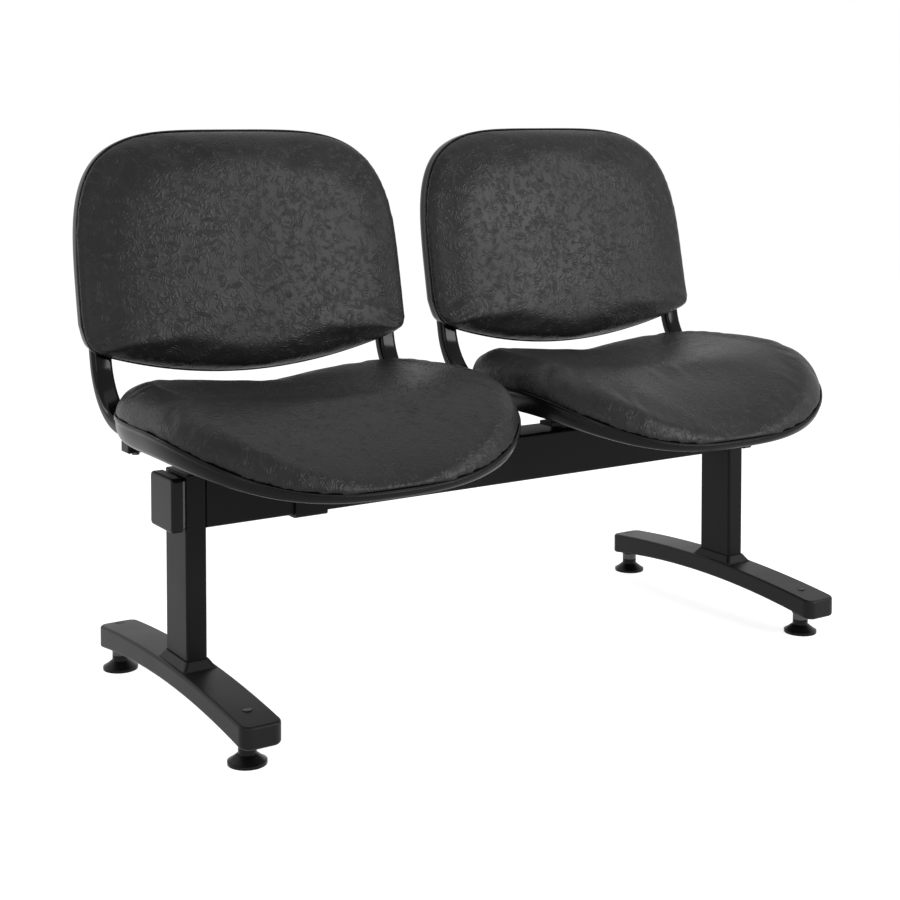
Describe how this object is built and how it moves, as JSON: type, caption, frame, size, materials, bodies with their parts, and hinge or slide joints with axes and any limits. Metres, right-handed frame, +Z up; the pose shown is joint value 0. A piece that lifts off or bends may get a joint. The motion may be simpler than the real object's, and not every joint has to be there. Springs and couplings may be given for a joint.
{
  "type": "beam seating",
  "caption": "Upholstered waiting-room bench with contoured seats and raised backs side by side on one square beam, carried by T-shaped legs with levelling glides.",
  "frame": {"origin": "on the floor, under the middle of the whole bench", "axes": "+X along the beam, to the right of someone who looks at the front of the bench; the seats face -Y; +Z up"},
  "size_m": [1.14, 0.5349, 0.7969],
  "materials": {
    "frame_coat": "satin black powder coat with a fine orange-peel surface",
    "foot_casting": "cast, with a satin black powder coat",
    "tube_gloss": "glossy black enamel",
    "trim_plastic": "moulded, satin black",
    "glide_plastic": "moulded, matt black",
    "shell_plastic": "moulded, satin black with a very fine grain",
    "vinyl": "black coated fabric embossed with a wandering wrinkle grain",
    "board": "bare beech plywood",
    "fastener": "steel, blackened or zinc plated"
  },
  "bodies": {
    "bench": {"back_board_left": "board", "back_board_right": "board", "back_cushion_left": "vinyl", "back_cushion_right": "vinyl", "back_screws": "fastener", "back_shell_left": "shell_plastic", "back_shell_right": "shell_plastic", "beam": "frame_coat", "beam_strap": "frame_coat", "bearer_left_left": "frame_coat", "bearer_left_right": "frame_coat", "bearer_right_left": "frame_coat", "bearer_right_right": "frame_coat", "collar_left": "trim_plastic", "collar_right": "trim_plastic", "column_cap_left": "trim_plastic", "column_cap_right": "trim_plastic", "column_left": "frame_coat", "column_plate_left": "fastener", "column_plate_right": "fastener", "column_right": "frame_coat", "end_cap_left": "trim_plastic", "end_cap_right": "trim_plastic", "foot_bolts": "fastener", "foot_left": "foot_casting", "foot_plugs": "trim_plastic", "foot_right": "foot_casting", "glide_lock_rings": "fastener", "leg_screws": "fastener", "mount_blocks": "trim_plastic", "mount_bolts": "fastener", "mount_pads": "trim_plastic", "mount_plate_left": "frame_coat", "mount_plate_right": "frame_coat", "rail_plugs": "trim_plastic", "rear_rail_left": "frame_coat", "rear_rail_right": "frame_coat", "seat_board_left": "board", "seat_board_right": "board", "seat_cushion_left": "vinyl", "seat_cushion_right": "vinyl", "seat_screws": "fastener", "seat_shell_left": "shell_plastic", "seat_shell_right": "shell_plastic", "side_tube_left_left": "tube_gloss", "side_tube_left_right": "tube_gloss", "side_tube_right_left": "tube_gloss", "side_tube_right_right": "tube_gloss", "spigot_left": "fastener", "spigot_right": "fastener", "strap_bolt": "fastener"},
    "stud_left_front": {"glide_stud_left_front": "fastener"},
    "pad_left_front": {"glide_pad_left_front": "glide_plastic"},
    "stud_left_rear": {"glide_stud_left_rear": "fastener"},
    "pad_left_rear": {"glide_pad_left_rear": "glide_plastic"},
    "stud_right_front": {"glide_stud_right_front": "fastener"},
    "pad_right_front": {"glide_pad_right_front": "glide_plastic"},
    "stud_right_rear": {"glide_stud_right_rear": "fastener"},
    "pad_right_rear": {"glide_pad_right_rear": "glide_plastic"}
  },
  "joints": [
    {"name": "glide_left_front_level", "type": "slide", "parent": "bench", "child": "stud_left_front", "axis": [0, 0, -1], "range_m": [0, 0.012]},
    {"name": "glide_left_front_swivel", "type": "hinge", "parent": "stud_left_front", "child": "pad_left_front", "pos_m": [-0.485, -0.19796, 0.021], "axis": [0, 0, 1], "continuous": true},
    {"name": "glide_left_rear_level", "type": "slide", "parent": "bench", "child": "stud_left_rear", "axis": [0, 0, -1], "range_m": [0, 0.012]},
    {"name": "glide_left_rear_swivel", "type": "hinge", "parent": "stud_left_rear", "child": "pad_left_rear", "pos_m": [-0.485, 0.22804, 0.021], "axis": [0, 0, 1], "continuous": true},
    {"name": "glide_right_front_level", "type": "slide", "parent": "bench", "child": "stud_right_front", "axis": [0, 0, -1], "range_m": [0, 0.012]},
    {"name": "glide_right_front_swivel", "type": "hinge", "parent": "stud_right_front", "child": "pad_right_front", "pos_m": [0.485, -0.19796, 0.021], "axis": [0, 0, 1], "continuous": true},
    {"name": "glide_right_rear_level", "type": "slide", "parent": "bench", "child": "stud_right_rear", "axis": [0, 0, -1], "range_m": [0, 0.012]},
    {"name": "glide_right_rear_swivel", "type": "hinge", "parent": "stud_right_rear", "child": "pad_right_rear", "pos_m": [0.485, 0.22804, 0.021], "axis": [0, 0, 1], "continuous": true}
  ]
}
